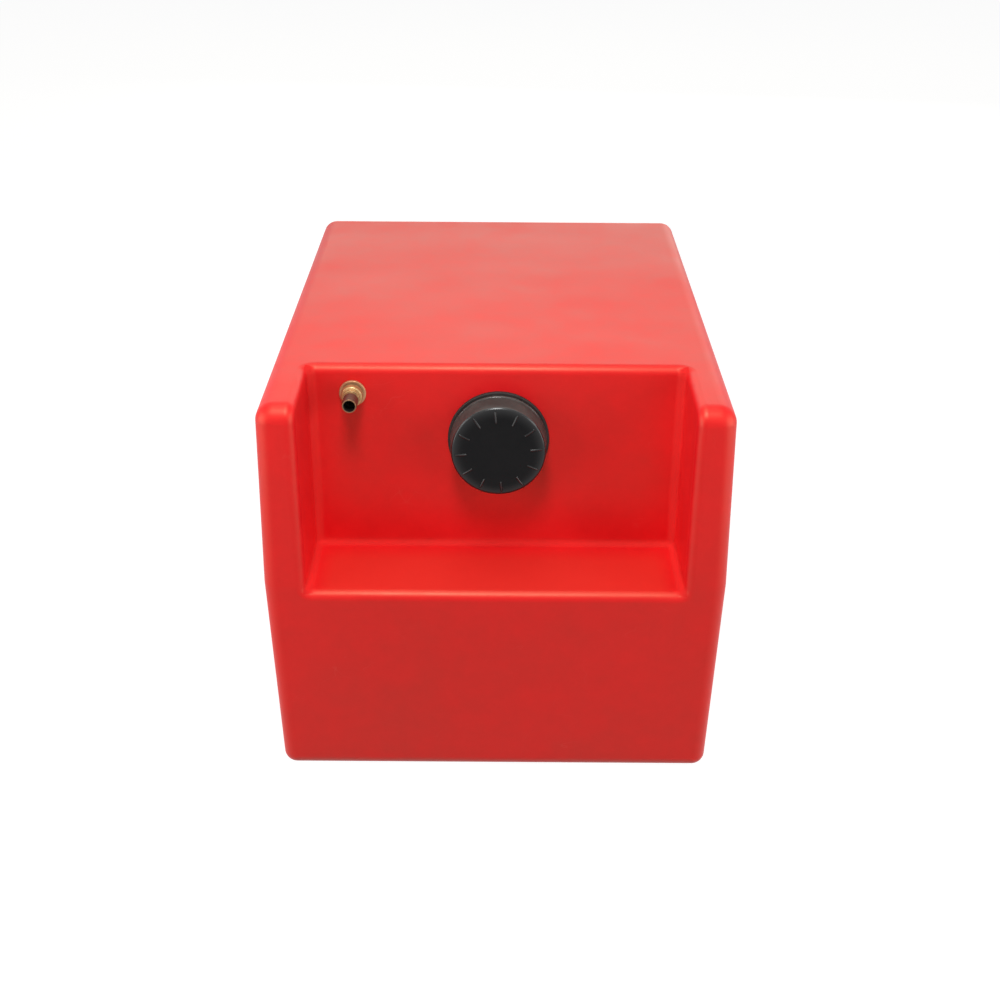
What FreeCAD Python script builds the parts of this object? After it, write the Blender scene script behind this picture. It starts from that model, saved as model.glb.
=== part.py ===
"""Outboard motor fuel tank: a rotomoulded hollow tank with a recess for its filler and its outlet.

Millimetres. +Z is up and the recess faces -Y. The origin is the middle of the tank's footprint, on
the surface that the tank stands on. Turned pieces are drawn about their own +Z, with their zero on the
face of the recess wall, and are then turned to point out of that wall.
"""

import FreeCAD, Part
import math
import os

import Sketcher
from FreeCAD import Placement, Rotation, Vector

SIZES = {
    # the moulded tank
    "tank_width": 400,
    "tank_length": 524,
    "tank_height": 366,
    "parting_height": 199,
    "mould_draft": 1.3,
    "wall_thickness": 5,
    "corner_radius": 12,
    "top_edge_radius": 15,
    "base_edge_radius": 12,
    # the recess in its front
    "cheek_width": 36.5,
    "recess_depth": 87,
    "recess_lean": 2,
    "shelf_height": 193,
    "recess_corner_radius": 8,
    "recess_foot_radius": 5,
    "recess_rim_radius": 8,
    # the filler neck
    "filler_below_top": 67.5,
    "filler_off_middle": 2,
    "neck_bore": 58,
    "collar_wall": 4.5,
    "collar_height": 19.5,
    "flange_width": 89.4,
    "flange_thickness": 3,
    "flange_edge": 1,
    "anchor_reach": 6,
    "anchor_thickness": 3,
    # the cap
    "cap_gasket_thickness": 2,
    "gasket_inset": 0.5,
    "slip_ring_thickness": 0.6,
    "thread_room": 1.5,
    "core_wall": 3.2,
    "core_roof": 2.4,
    "cap_width": 83.2,
    "cap_wall": 2.5,
    "cap_face_thickness": 3.4,
    "cap_crown": 1.9,
    "cap_middle_width": 53,
    "cap_rim_radius": 2.5,
    "cap_taper": 0.3,
    "cap_bead": 0.8,
    "cap_bead_height": 2.4,
    "skirt_gap": 0.8,
    "tick_inset": 0.8,
    "tick_length": 10.8,
    "tick_width": 2.2,
    "tick_height": 0.5,
    "vent_groove_width": 3,
    "vent_groove_depth": 0.8,
    # the vent valve in the cap
    "valve_chamber": 15,
    "valve_chamber_wall": 2.4,
    "valve_chamber_depth": 13,
    "valve_seat_thickness": 2,
    "valve_seat_bore": 7,
    "poppet_width": 13,
    "poppet_thickness": 1.5,
    "poppet_stem": 3,
    "poppet_stem_length": 9.4,
    "poppet_stem_room": 1,
    "poppet_hole": 1,
    "umbrella_width": 6.2,
    "umbrella_thickness": 0.8,
    "umbrella_stem": 1.6,
    "umbrella_stem_length": 4,
    "vent_spring_width": 8,
    "vent_spring_wire": 0.7,
    "vent_spring_turns": 5,
    # the fuel outlet
    "outlet_from_cheek": 38.5,
    "outlet_below_top": 25,
    "bush_width": 18,
    "bush_length": 14,
    "bush_flange_width": 23.5,
    "bush_flange_thickness": 2.5,
    "bush_ridge": 1.5,
    "bush_ridge_width": 3,
    "boss_wall": 6,
    "outlet_thread": 13.7,
    "washer_width": 18.4,
    "washer_thickness": 1.5,
    "grip_width": 19.2,
    "grip_length": 7.5,
    "grip_edge_radius": 2,
    "shoulder_width": 15,
    "shoulder_length": 3.5,
    "tail_length": 16.2,
    "tail_root": 12.2,
    "tail_crest": 13.2,
    "tail_bore": 9.8,
    "barb_pitch": 4.5,
    "barb_land": 0.8,
    "barb_length": 4,
    "seat_bore": 4.8,
    "seat_height": 3,
    "inner_tail_root": 7.2,
    "inner_tail_crest": 8,
    "inner_tail_length": 16,
    # the check valve in the outlet
    "ball_width": 7.2,
    "check_spring_width": 6.6,
    "check_spring_wire": 0.6,
    "check_spring_turns": 6,
    "check_spring_length": 11,
    "stop_thickness": 1.5,
    "stop_bore": 6,
    # the pick-up tube and its strainer
    "tube_width": 12,
    "tube_bore": 8.1,
    "tube_bend": 45,
    "tube_lead": 34,
    "tube_start_gap": 1,
    "ferrule_width": 14.4,
    "ferrule_length": 9,
    "ferrule_inset": 3,
    "strainer_width": 12.4,
    "strainer_length": 34,
    "strainer_wall": 1.2,
    "strainer_clearance": 6,
    "plug_flange": 3,
    "plug_length": 14,
    "plug_depth": 6,
    # small clearances
    "rest_gap": 0.05,
    "fit_gap": 0.05,
}

TICK_COUNT = 12
VENT_GROOVE_COUNT = 4
POPPET_HOLE_COUNT = 4
TAIL_BARB_COUNT = 3
INNER_BARB_COUNT = 2
WIRE_FACE_COUNT = 6
FULL_TURN = 360
CAP_TURNED = 4

# places on the tank that several pieces share
RECESS_HALF = "(Sizes.tank_width / 2 - Sizes.cheek_width)"
FILLER_HEIGHT = "(Sizes.tank_height - Sizes.filler_below_top)"
FILLER_ACROSS = "Sizes.filler_off_middle"
OUTLET_HEIGHT = "(Sizes.tank_height - Sizes.outlet_below_top)"
OUTLET_ACROSS = f"-({RECESS_HALF} - Sizes.outlet_from_cheek)"

# heights above the recess wall that several pieces share
COLLAR_TOP = "(Sizes.flange_thickness + Sizes.collar_height)"
GASKET_TOP = f"({COLLAR_TOP} + Sizes.cap_gasket_thickness)"
SLIP_TOP = f"({GASKET_TOP} + Sizes.slip_ring_thickness)"
ROOF_FOOT = f"({SLIP_TOP} + Sizes.rest_gap)"
CORE_TOP = f"({ROOF_FOOT} + Sizes.core_roof)"
FACE_TOP = f"({CORE_TOP} + Sizes.cap_face_thickness)"
RIM_TOP = f"({FACE_TOP} - Sizes.cap_crown)"
SKIRT_FOOT = "(Sizes.flange_thickness + Sizes.skirt_gap)"
CHAMBER_FOOT = f"({ROOF_FOOT} - Sizes.valve_chamber_depth)"
SEAT_TOP = f"({CHAMBER_FOOT} + Sizes.valve_seat_thickness)"
POPPET_TOP = f"({SEAT_TOP} + Sizes.poppet_thickness)"
WASHER_TOP = "(Sizes.bush_flange_thickness + Sizes.washer_thickness)"
GRIP_TOP = f"({WASHER_TOP} + Sizes.grip_length)"
SHOULDER_TOP = f"({GRIP_TOP} + Sizes.shoulder_length)"
TAIL_TOP = f"({SHOULDER_TOP} + Sizes.tail_length)"
NECK_FOOT = "(-Sizes.wall_thickness - Sizes.anchor_thickness)"
TUBE_START = "(Sizes.bush_length + Sizes.tube_start_gap)"
STRAINER_FOOT = "(Sizes.wall_thickness + Sizes.strainer_clearance)"
TUBE_END = f"({STRAINER_FOOT} + Sizes.strainer_length + Sizes.plug_flange)"
TUBE_TURN = "Sizes.tube_bend * cos(Sizes.recess_lean)"
TUBE_SINK = f"({TUBE_START} + Sizes.tube_lead) * sin(Sizes.recess_lean)"
TUBE_DROP = f"({OUTLET_HEIGHT} - {TUBE_TURN} - {TUBE_SINK} - {TUBE_END})"

# the ball rests on the rim of its seat, and its spring on the ball
BALL_RISE = "sqrt(pow(Sizes.ball_width / 2; 2) - pow(Sizes.seat_bore / 2; 2))"
BALL_CENTRE = f"(Sizes.seat_height + {BALL_RISE} + Sizes.rest_gap)"
COIL_RADIUS = "((Sizes.check_spring_width - Sizes.check_spring_wire) / 2)"
COIL_REACH = "((Sizes.ball_width + Sizes.check_spring_wire) / 2)"
COIL_RISE = f"sqrt(pow({COIL_REACH}; 2) - pow({COIL_RADIUS}; 2))"
CHECK_SPRING_FOOT = f"({BALL_CENTRE} + {COIL_RISE} + Sizes.rest_gap)"

# radii that several pieces share
COLLAR_RADIUS = "(Sizes.neck_bore / 2 + Sizes.collar_wall)"
CORE_BORE_RADIUS = f"({COLLAR_RADIUS} + Sizes.thread_room)"
CORE_RADIUS = f"({CORE_BORE_RADIUS} + Sizes.core_wall)"
CHAMBER_RADIUS = "(Sizes.valve_chamber / 2)"

document = FreeCAD.newDocument("fuel_tank")
sheet = document.addObject("Spreadsheet::Sheet", "Sizes")
parts = {}


def fill_sheet():
    """Writes each driving size into the sheet, beside its name, and names the cell."""
    for row, (name, value) in enumerate(SIZES.items(), start=1):
        sheet.set(f"A{row}", name)
        sheet.set(f"B{row}", str(value))
        sheet.setAlias(f"B{row}", name)
    document.recompute()


def size(name):
    """A driving size as a number, for what can't take a formula."""
    return float(sheet.get(name))


def keep(piece, label):
    """Lists a finished piece under the name of its node."""
    piece.Label = label
    parts[label] = piece
    return piece


def new_body(name):
    return document.addObject("PartDesign::Body", name)


def plane_of(body, role):
    """One of a body's own origin planes, found by its role."""
    return next(f for f in body.Origin.OriginFeatures if f.Role == role)


def new_sketch(body, name, role, offset=None):
    """A sketch on one of a body's own origin planes, lifted off it by a formula."""
    sketch = body.newObject("Sketcher::SketchObject", name)
    sketch.AttachmentSupport = [(plane_of(body, role), "")]
    sketch.MapMode = "FlatFace"
    if offset:
        sketch.setExpression(".AttachmentOffset.Base.z", offset)
    return sketch


def draw_outline(sketch, corners):
    """Draws a closed outline whose corners are pairs of formulas."""
    count = len(corners)
    first = len(sketch.Geometry)
    turn = 2 * math.pi / count
    start = [Vector(math.cos(turn * i), math.sin(turn * i), 0) for i in range(count)]
    for i in range(count):
        sketch.addGeometry(Part.LineSegment(start[i], start[(i + 1) % count]))
    for i in range(count):
        following = first + (i + 1) % count
        sketch.addConstraint(Sketcher.Constraint("Coincident", first + i, 2, following, 1))
    for i, (across, along) in enumerate(corners):
        pin_point(sketch, first + i, 1, across, along)


def pin_across(sketch, number, point, formula):
    """Sets how far along the sketch's X a point of its geometry lies."""
    at = sketch.getPoint(number, point)
    constraint = sketch.addConstraint(Sketcher.Constraint("DistanceX", number, point, at.x))
    sketch.setExpression(f"Constraints[{constraint}]", formula)


def pin_point(sketch, number, point, across, along):
    """Sets both places of a point of a sketch's geometry."""
    pin_across(sketch, number, point, across)
    at = sketch.getPoint(number, point)
    constraint = sketch.addConstraint(Sketcher.Constraint("DistanceY", number, point, at.y))
    sketch.setExpression(f"Constraints[{constraint}]", along)


def draw_circle(sketch, radius, across="0", along="0"):
    """Draws a circle whose radius and centre are formulas."""
    circle = sketch.addGeometry(Part.Circle(Vector(0, 0, 0), Vector(0, 0, 1), 1))
    pin_point(sketch, circle, 3, across, along)
    number = sketch.addConstraint(Sketcher.Constraint("Radius", circle, 1))
    sketch.setExpression(f"Constraints[{number}]", radius)


def revolve(body, name, corners, cut=False):
    """Turns an outline of radius and height pairs about the body's own +Z, to add or to cut."""
    sketch = new_sketch(body, name + "_outline", "XZ_Plane")
    draw_outline(sketch, corners)
    kind = "PartDesign::Groove" if cut else "PartDesign::Revolution"
    turned = body.newObject(kind, name)
    turned.Profile = sketch
    turned.ReferenceAxis = (sketch, ["V_Axis"])
    turned.Angle = FULL_TURN
    document.recompute()
    return turned


def pocket(body, name, sketch, depth, upwards):
    """Cuts a sketch out of a body, along the sketch's own +Z when it goes upwards."""
    hole = body.newObject("PartDesign::Pocket", name)
    hole.Profile = sketch
    hole.Reversed = upwards
    hole.setExpression("Length", depth)
    document.recompute()
    return hole


def around(body, name, feature, sketch, count):
    """Repeats a feature evenly about the normal of its sketch."""
    pattern = body.newObject("PartDesign::PolarPattern", name)
    pattern.Originals = [feature]
    pattern.Axis = (sketch, ["N_Axis"])
    pattern.Angle = FULL_TURN
    pattern.Occurrences = count
    body.Tip = pattern
    document.recompute()
    return pattern


def middle(edge):
    """The point half way along an edge."""
    return edge.valueAt((edge.FirstParameter + edge.LastParameter) / 2)


def edge_names(shape, chosen):
    """The names of the edges of a shape that a test picks."""
    return [f"Edge{i}" for i, edge in enumerate(shape.Edges, start=1) if chosen(edge)]


def is_ring(edge, radius, height):
    """True for a full circle of that radius about the body's own Z, at that height."""
    curve = edge.Curve
    if not isinstance(curve, Part.Circle):
        return False
    return abs(curve.Radius - radius) < 0.01 and abs(curve.Center.z - height) < 0.01


def dress(body, kind, name, base, chosen, formula):
    """Rounds or chamfers the edges of a feature that a test picks."""
    dressing = body.newObject("PartDesign::" + kind, name)
    dressing.Base = (base, edge_names(base.Shape, chosen))
    dressing.setExpression("Radius" if kind == "Fillet" else "Size", formula)
    document.recompute()
    return dressing


def wall_at(height):
    """Where the recess wall stands along Y at a height, as a formula."""
    lean = f"tan(Sizes.recess_lean) * ({height} - Sizes.shelf_height)"
    return f"Sizes.recess_depth - Sizes.tank_length / 2 + {lean}"


def point_out(piece, across, height):
    """Turns a piece's +Z to the outward normal of the recess wall and seats its zero on that wall."""
    piece.Placement = Placement(Vector(), Rotation(Vector(1, 0, 0), 90))
    piece.setExpression(".Placement.Base.x", across)
    piece.setExpression(".Placement.Base.y", wall_at(height))
    piece.setExpression(".Placement.Base.z", height)
    piece.setExpression(".Placement.Rotation.Angle", "90 - Sizes.recess_lean")
    return piece


def at_filler(piece, label):
    return keep(point_out(piece, FILLER_ACROSS, FILLER_HEIGHT), label)


def at_outlet(piece, label):
    return keep(point_out(piece, OUTLET_ACROSS, OUTLET_HEIGHT), label)


def rounded(piece, name, radius):
    """Rounds edges of a piece with different radii in one feature, so that its corners blend."""
    document.recompute()
    fillet = document.addObject("Part::Fillet", name)
    fillet.Base = piece
    numbered = enumerate(piece.Shape.Edges, start=1)
    sized = [(i, radius(edge)) for i, edge in numbered]
    fillet.Edges = [(i, r, r) for i, r in sized if r > 0]
    document.recompute()
    return fillet


def inset_of(hollow):
    """How far the hollow lies inside the tank's outside, as a formula and as a number."""
    if hollow:
        return "Sizes.wall_thickness", size("wall_thickness")
    return "0", 0


def half_form(name, hollow, upper):
    """Half of the tank's outer form, or of its hollow, from the parting line up or down.

    It is a block whose four sides lean in by the mould's draft, with rounded edges.
    """
    inset, inset_size = inset_of(hollow)
    block = document.addObject("Part::Wedge", name + "_block")
    rise = "(Sizes.tank_height - Sizes.parting_height" if upper else "(Sizes.parting_height"
    rise += f" - {inset})"
    lean = f"{rise} * tan(Sizes.mould_draft)"
    half_width = f"(Sizes.tank_width / 2 - {inset})"
    half_length = f"(Sizes.tank_length / 2 - {inset})"
    limits = {
        "Xmin": f"-{half_width}",
        "Xmax": half_width,
        "X2min": f"-{half_width} + {lean}",
        "X2max": f"{half_width} - {lean}",
        "Zmin": f"-{half_length}",
        "Zmax": half_length,
        "Z2min": f"-{half_length} + {lean}",
        "Z2max": f"{half_length} - {lean}",
        "Ymax": rise,
    }
    block.Ymin = 0
    for side, formula in limits.items():
        block.setExpression(side, formula)
    turn = 90 if upper else -90
    block.Placement = Placement(Vector(), Rotation(Vector(1, 0, 0), turn))
    block.setExpression(".Placement.Base.z", "Sizes.parting_height")
    document.recompute()

    def radius(edge):
        ends = [vertex.Z - size("parting_height") for vertex in edge.Vertexes]
        if abs(ends[0] - ends[1]) > 1:
            return size("corner_radius") - inset_size
        if abs(ends[0]) < 1:
            return 0
        return size("top_edge_radius" if upper else "base_edge_radius") - inset_size

    return rounded(block, name, radius)


def recess_cutter(name, hollow):
    """What the recess takes out of the tank's form, or out of its hollow, with its inner edges rounded."""
    inset, inset_size = inset_of(hollow)
    body = new_body(name + "_body")
    profile = new_sketch(body, name + "_side", "YZ_Plane")
    front = "-Sizes.tank_length"
    above = "2 * Sizes.tank_height"
    foot = f"(Sizes.recess_depth - Sizes.tank_length / 2 + {inset})"
    shelf = f"(Sizes.shelf_height - {inset})"
    top = f"{foot} + tan(Sizes.recess_lean) * ({above} - {shelf})"
    draw_outline(profile, [(front, shelf), (foot, shelf), (top, above), (front, above)])
    block = body.newObject("PartDesign::Pad", name + "_pad")
    block.Profile = profile
    block.Midplane = True
    block.setExpression("Length", f"2 * ({RECESS_HALF} + {inset})")
    document.recompute()
    shelf_size = size("shelf_height") - inset_size
    foot_size = size("recess_depth") - size("tank_length") / 2 + inset_size
    half = size("tank_width") / 2 - size("cheek_width") + inset_size

    def radius(edge):
        at = middle(edge)
        at_side = abs(abs(at.x) - half) < 0.1
        if abs(at.z - shelf_size) < 0.1 and (at_side or abs(at.y - foot_size) < 0.1):
            return size("recess_foot_radius") + inset_size
        upright = abs(edge.Vertexes[0].Z - edge.Vertexes[1].Z) > 1
        if upright and at_side and at.y > foot_size - 1:
            return size("recess_corner_radius") + inset_size
        return 0

    return rounded(body, name, radius)


def tank_form(name, hollow):
    """The tank's outer form, or its hollow: two moulded halves less the recess, with a rounded rim."""
    halves = document.addObject("Part::Fuse", name + "_halves")
    halves.Base = half_form(name + "_upper", hollow, upper=True)
    halves.Tool = half_form(name + "_lower", hollow, upper=False)
    notched = document.addObject("Part::Cut", name + "_notched")
    notched.Base = halves
    notched.Tool = recess_cutter(name + "_recess", hollow)
    document.recompute()
    inset_size = inset_of(hollow)[1]
    cutter = notched.Tool.Shape
    skins = halves.Shape.Faces

    def radius(edge):
        at = Part.Vertex(middle(edge))
        on_cutter = cutter.distToShape(at)[0] < 0.001
        if on_cutter and min(skin.distToShape(at)[0] for skin in skins) < 0.001:
            return size("recess_rim_radius") - inset_size
        return 0

    return rounded(notched, name, radius)


def bush_outline():
    """Half of the outlet bush's outside: its flange, its barrel and the ridge that the wall grips."""
    flange = "Sizes.bush_flange_width / 2"
    barrel = "Sizes.bush_width / 2"
    ridge = f"{barrel} + Sizes.bush_ridge"
    ridge_top = "-(Sizes.bush_length / 2)"
    ridge_foot = f"{ridge_top} - Sizes.bush_ridge_width"
    return [
        (flange, "Sizes.bush_flange_thickness"),
        (flange, "0"),
        (barrel, "0"),
        (barrel, ridge_top),
        (ridge, ridge_top),
        (ridge, ridge_foot),
        (barrel, ridge_foot),
        (barrel, "-Sizes.bush_length"),
    ]


def neck_outline():
    """Half of the filler neck's outside, from its collar to the anchor ring behind the wall."""
    collar = COLLAR_RADIUS
    flange = "Sizes.flange_width / 2"
    wall = "-Sizes.wall_thickness"
    anchor = f"{collar} + Sizes.anchor_reach"
    anchor_foot = f"{wall} - Sizes.anchor_thickness"
    return [
        (collar, COLLAR_TOP),
        (collar, "Sizes.flange_thickness"),
        (flange, "Sizes.flange_thickness"),
        (flange, "0"),
        (collar, "0"),
        (collar, wall),
        (anchor, wall),
        (anchor, anchor_foot),
    ]


def turned_core(name, outline, top, foot):
    """A solid of revolution of a moulded-in insert's outside, which the tank's wall is moulded round."""
    body = new_body(name)
    revolve(body, name + "_turn", outline + [("0", foot), ("0", top)])
    return body


def tank_shell():
    """The rotomoulded tank: an even wall round one hollow, moulded onto the neck and the outlet bush."""
    walls = document.addObject("Part::Cut", "walls")
    walls.Base = tank_form("form", hollow=False)
    walls.Tool = tank_form("hollow", hollow=True)
    boss = new_body("outlet_boss")
    radius = "Sizes.bush_width / 2 + Sizes.boss_wall"
    foot = "-Sizes.bush_length"
    top = "-Sizes.wall_thickness / 2"
    revolve(boss, "boss_turn", [("0", foot), (radius, foot), (radius, top), ("0", top)])
    bossed = document.addObject("Part::Fuse", "bossed_walls")
    bossed.Base = walls
    bossed.Tool = point_out(boss, OUTLET_ACROSS, OUTLET_HEIGHT)
    neck = turned_core("neck_core", neck_outline(), COLLAR_TOP, NECK_FOOT)
    bush = turned_core("bush_core", bush_outline(), "Sizes.bush_flange_thickness", foot)
    inserts = document.addObject("Part::Fuse", "inserts")
    inserts.Base = point_out(neck, FILLER_ACROSS, FILLER_HEIGHT)
    inserts.Tool = point_out(bush, OUTLET_ACROSS, OUTLET_HEIGHT)
    shell = document.addObject("Part::Cut", "moulded_walls")
    shell.Base = bossed
    shell.Tool = inserts
    document.recompute()
    keep(shell, "tank_shell")


def filler_neck():
    """The neck: a flange on the wall, a threaded collar, and a ring that anchors it behind the wall."""
    body = turned_core("filler_neck_body", neck_outline(), COLLAR_TOP, NECK_FOOT)
    bore = "Sizes.neck_bore / 2"
    corners = [("0", NECK_FOOT), (bore, NECK_FOOT), (bore, COLLAR_TOP), ("0", COLLAR_TOP)]
    revolve(body, "neck_bore_cut", corners, cut=True)
    flange = size("flange_width") / 2
    base = body.Tip
    face = size("flange_thickness")
    dress(body, "Fillet", "flange_edge", base, lambda e: is_ring(e, flange, face), "Sizes.flange_edge")
    at_filler(body, "filler_neck")


def ring(name, inner, outer, foot, top):
    """A flat ring, drawn as its section."""
    body = new_body(name + "_body")
    revolve(body, name + "_turn", [(inner, foot), (outer, foot), (outer, top), (inner, top)])
    return body


def cap_seals():
    """The rubber gasket on the collar's end and the thin slip ring that the cap turns on."""
    inner = "Sizes.neck_bore / 2 + Sizes.gasket_inset"
    outer = f"{CORE_BORE_RADIUS} - Sizes.gasket_inset"
    at_filler(ring("gasket", inner, outer, COLLAR_TOP, GASKET_TOP), "cap_gasket")
    at_filler(ring("slip_ring", inner, outer, GASKET_TOP, SLIP_TOP), "slip_ring")


def cap_core():
    """The cap's threaded cup, with the vent valve's chamber under its roof and vent grooves on top."""
    body = new_body("core_body")
    foot = f"{SKIRT_FOOT} + Sizes.skirt_gap"
    chamber_wall = f"({CHAMBER_RADIUS} + Sizes.valve_chamber_wall)"
    stem_hole = "(Sizes.poppet_stem / 2 + Sizes.poppet_stem_room)"
    corners = [
        (stem_hole, CORE_TOP),
        (stem_hole, ROOF_FOOT),
        (CHAMBER_RADIUS, ROOF_FOOT),
        (CHAMBER_RADIUS, CHAMBER_FOOT),
        (chamber_wall, CHAMBER_FOOT),
        (chamber_wall, ROOF_FOOT),
        (CORE_BORE_RADIUS, ROOF_FOOT),
        (CORE_BORE_RADIUS, foot),
        (CORE_RADIUS, foot),
        (CORE_RADIUS, CORE_TOP),
    ]
    revolve(body, "core_turn", corners)
    groove = new_sketch(body, "vent_groove_outline", "XY_Plane", CORE_TOP)
    half = "Sizes.vent_groove_width / 2"
    reach = "Sizes.cap_width"
    draw_outline(groove, [("0", f"-{half}"), (reach, f"-{half}"), (reach, half), ("0", half)])
    cut = pocket(body, "vent_groove", groove, "Sizes.vent_groove_depth", upwards=False)
    around(body, "vent_grooves", cut, groove, VENT_GROOVE_COUNT)
    at_filler(body, "cap_core")


def cap_shell():
    """The cap's smooth outer cover: a beaded skirt, and a crowned face with a flat middle and twelve ticks."""
    body = new_body("shell_body")
    skirt = "Sizes.cap_width / 2"
    bead = f"{skirt} + Sizes.cap_bead"
    bead_top = f"{SKIRT_FOOT} + Sizes.cap_bead_height"
    rim = f"{skirt} - Sizes.cap_taper"
    middle_edge = "Sizes.cap_middle_width / 2"
    inside = f"{skirt} - Sizes.cap_wall"
    corners = [
        (inside, SKIRT_FOOT),
        (bead, SKIRT_FOOT),
        (bead, bead_top),
        (skirt, f"{bead_top} + Sizes.cap_bead"),
        (rim, RIM_TOP),
        (middle_edge, FACE_TOP),
        ("0", FACE_TOP),
        ("0", CORE_TOP),
        (inside, CORE_TOP),
    ]
    turned = revolve(body, "shell_turn", corners)
    rim_radius = size("cap_width") / 2 - size("cap_taper")
    outer = lambda e: isinstance(e.Curve, Part.Circle) and abs(e.Curve.Radius - rim_radius) < 0.01
    dress(body, "Fillet", "cap_rim", turned, outer, "Sizes.cap_rim_radius")
    slope = f"Sizes.cap_crown / ({rim} - {middle_edge})"
    start = f"{middle_edge} + Sizes.tick_inset"
    end = f"{start} + Sizes.tick_length"
    high = f"{FACE_TOP} - {slope} * Sizes.tick_inset"
    low = f"{high} - {slope} * Sizes.tick_length"
    rib = new_sketch(body, "tick_outline", "XZ_Plane")
    rib.AttachmentOffset = Placement(Vector(), Rotation(Vector(0, 1, 0), CAP_TURNED))
    raised = "Sizes.tick_height"
    draw_outline(
        rib,
        [
            (start, f"{high} - {raised}"),
            (end, f"{low} - {raised}"),
            (end, f"{low} + {raised}"),
            (start, f"{high} + {raised}"),
        ],
    )
    tick = body.newObject("PartDesign::Pad", "tick")
    tick.Profile = rib
    tick.Midplane = True
    tick.setExpression("Length", "Sizes.tick_width")
    document.recompute()
    pattern = body.newObject("PartDesign::PolarPattern", "ticks")
    pattern.Originals = [tick]
    pattern.Axis = (plane_of(body, "Z_Axis"), [""])
    pattern.Angle = FULL_TURN
    pattern.Occurrences = TICK_COUNT
    body.Tip = pattern
    document.recompute()
    at_filler(body, "cap_shell")


def vent_valve():
    """The cap's vent: a sprung poppet on a seat lets pressure out, and a rubber umbrella lets air in."""
    seat_bore = "Sizes.valve_seat_bore / 2"
    seat = ring("vent_seat", seat_bore, CHAMBER_RADIUS, CHAMBER_FOOT, SEAT_TOP)
    at_filler(seat, "vent_seat")

    poppet = new_body("poppet_body")
    stem = "Sizes.poppet_stem / 2"
    socket = "Sizes.umbrella_stem / 2"
    socket_top = f"{SEAT_TOP} + Sizes.umbrella_stem_length"
    stem_top = f"{POPPET_TOP} + Sizes.poppet_stem_length"
    corners = [
        (socket, SEAT_TOP),
        ("Sizes.poppet_width / 2", SEAT_TOP),
        ("Sizes.poppet_width / 2", POPPET_TOP),
        (stem, POPPET_TOP),
        (stem, stem_top),
        ("0", stem_top),
        ("0", socket_top),
        (socket, socket_top),
    ]
    revolve(poppet, "poppet_turn", corners)
    drilling = new_sketch(poppet, "breather_outline", "XY_Plane", SEAT_TOP)
    across = f"({stem} + Sizes.umbrella_width / 2) / 2"
    draw_circle(drilling, "Sizes.poppet_hole / 2", across)
    hole = pocket(poppet, "breather", drilling, "Sizes.poppet_thickness", upwards=True)
    around(poppet, "breathers", hole, drilling, POPPET_HOLE_COUNT)
    at_filler(poppet, "vent_poppet")

    umbrella = new_body("umbrella_body")
    disc = "Sizes.umbrella_width / 2"
    under = f"{SEAT_TOP} - Sizes.umbrella_thickness"
    corners = [
        ("0", under),
        (f"{disc} / 2", under),
        (disc, f"{SEAT_TOP} - Sizes.umbrella_thickness / 2"),
        (disc, SEAT_TOP),
        (socket, SEAT_TOP),
        (socket, socket_top),
        ("0", socket_top),
    ]
    revolve(umbrella, "umbrella_turn", corners)
    at_filler(umbrella, "vent_umbrella")

    wire = "Sizes.vent_spring_wire / 2"
    length = f"{ROOF_FOOT} - {POPPET_TOP} - 2 * ({wire} + Sizes.rest_gap)"
    body = coil(
        "vent_spring",
        "Sizes.vent_spring_width",
        "Sizes.vent_spring_wire",
        f"{POPPET_TOP} + {wire} + Sizes.rest_gap",
        length,
        "Sizes.vent_spring_turns",
    )
    at_filler(body, "vent_spring")


def coil(name, width, wire, foot, length, turns):
    """A compression spring: a six-sided wire on a helix about the body's own +Z."""
    body = new_body(name + "_body")
    sketch = new_sketch(body, name + "_wire", "XZ_Plane")
    turn = FULL_TURN / WIRE_FACE_COUNT
    corners = []
    for i in range(WIRE_FACE_COUNT):
        out = f"{wire} / 2 * cos({i * turn})"
        up = f"{wire} / 2 * sin({i * turn})"
        corners.append((f"({width} - {wire}) / 2 + {out}", f"{foot} + {up}"))
    draw_outline(sketch, corners)
    helix = body.newObject("PartDesign::AdditiveHelix", name + "_helix")
    helix.Profile = sketch
    helix.ReferenceAxis = (sketch, ["V_Axis"])
    helix.Mode = "height-turns-angle"
    helix.setExpression("Height", length)
    helix.setExpression("Turns", turns)
    document.recompute()
    return body


def outlet_bush():
    """The brass bush that the wall is moulded round, with the outlet's thread inside."""
    foot = "-Sizes.bush_length"
    top = "Sizes.bush_flange_thickness"
    body = turned_core("bush_body", bush_outline(), top, foot)
    bore = "Sizes.outlet_thread / 2 + Sizes.fit_gap"
    revolve(body, "bush_bore", [("0", foot), (bore, foot), (bore, top), ("0", top)], cut=True)
    at_outlet(body, "outlet_bush")
    bore = "Sizes.outlet_thread / 2 + Sizes.fit_gap"
    washer = ring("washer", bore, "Sizes.washer_width / 2", top, WASHER_TOP)
    at_outlet(washer, "outlet_washer")


def barbs(count, foot, root, crest, down):
    """Corners of a barbed hose tail, from its foot to its mouth: each barb steps out and ramps in."""
    sign = "-" if down else "+"
    corners = []
    for i in range(count):
        base = f"({foot} {sign} {i} * Sizes.barb_pitch)"
        corners += [
            (root, base),
            (crest, base),
            (crest, f"{base} {sign} Sizes.barb_land"),
        ]
        corners.append((root, f"{base} {sign} Sizes.barb_length"))
    return corners


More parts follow.
